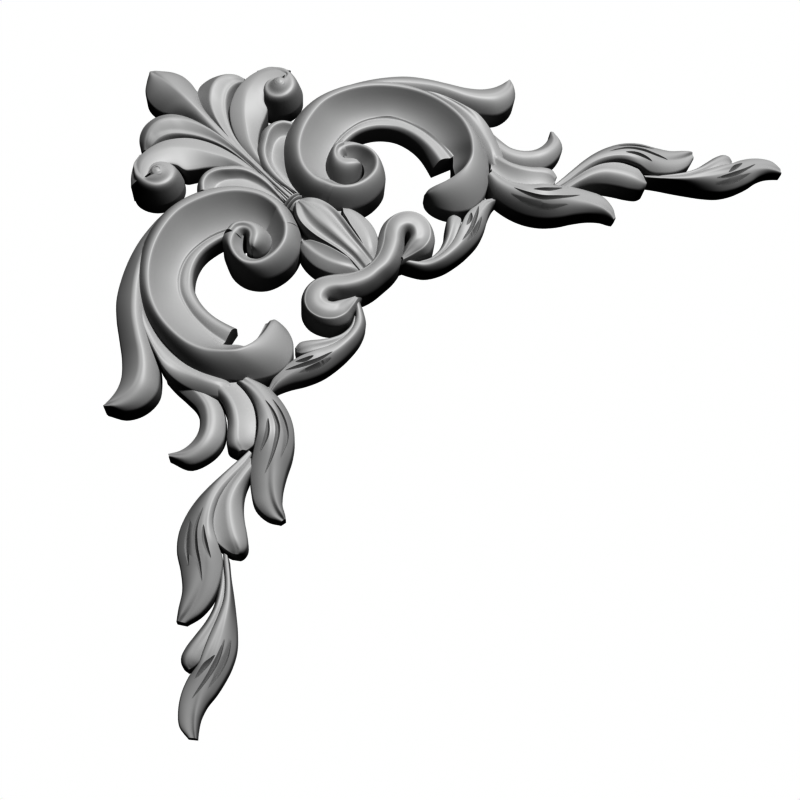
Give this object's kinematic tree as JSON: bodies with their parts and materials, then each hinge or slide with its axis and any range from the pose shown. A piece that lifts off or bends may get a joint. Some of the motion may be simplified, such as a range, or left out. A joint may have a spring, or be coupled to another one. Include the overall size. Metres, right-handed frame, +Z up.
{
  "type": "corner applique",
  "caption": "Corner ornament carved in low relief: mirrored scrolls, a palmette and leaf sprays, with a flat back to fix onto furniture or panelling.",
  "frame": {"origin": "fixing point on the flat back, behind the palmette, on the corner's diagonal", "axes": "+Y out of the flat back, the carving faces -Y; +Z up; +X along the upper arm, away from the corner"},
  "size_m": [0.2771, 0.0184, 0.2771],
  "materials": {
    "carved_wood": "smooth sanded carving in a neutral grey primer, satin"
  },
  "bodies": {
    "root": {"corner_applique": "carved_wood"}
  },
  "joints": []
}
